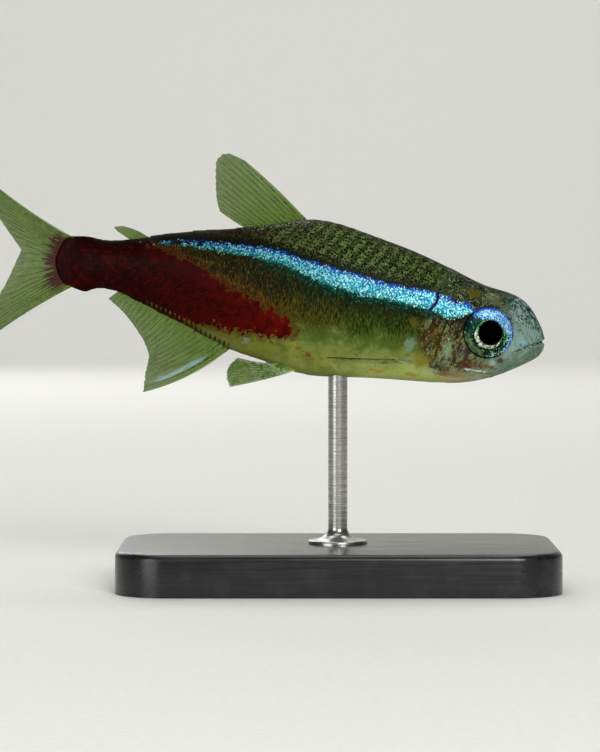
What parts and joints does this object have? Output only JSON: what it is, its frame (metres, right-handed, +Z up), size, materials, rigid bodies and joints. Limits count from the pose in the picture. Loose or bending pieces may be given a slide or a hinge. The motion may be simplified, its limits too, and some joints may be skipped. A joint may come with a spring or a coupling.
{
  "type": "neon tetra fish model",
  "caption": "Small freshwater fish at life size, swimming nose down with its tail swung to one side, held by a rod on a flat base.",
  "frame": {"origin": "middle of the underside of the stand's base, on the surface that it stands on", "axes": "+X towards the fish's head, +Z up, -Y out of the fish's right side, which the picture shows"},
  "size_m": [0.0344, 0.015, 0.0247],
  "materials": {
    "skin": "wet skin with small scales: olive back, bright blue-green stripe, red rear flank, pale belly",
    "fin_membrane": "thin clear membrane over fine greenish rays",
    "eye": "clear domed surface over a blue and green iris with a silver ring and a black pupil",
    "stand_black": "satin black acrylic",
    "stand_steel": "finely turned steel"
  },
  "bodies": {
    "root": {"head": "skin", "lower_jaw": "skin", "gill_cover_left": "skin", "gill_cover_right": "skin", "trunk": "skin", "tail_stalk": "skin", "dorsal_fin": "fin_membrane", "adipose_fin": "fin_membrane", "anal_fin": "fin_membrane", "caudal_fin_upper": "fin_membrane", "caudal_fin_lower": "fin_membrane", "pectoral_fin_left": "fin_membrane", "pectoral_fin_right": "fin_membrane", "pelvic_fin_left": "fin_membrane", "pelvic_fin_right": "fin_membrane", "eye_left": "eye", "eye_right": "eye", "stand_base": "stand_black", "stand_rod": "stand_steel"}
  },
  "joints": []
}
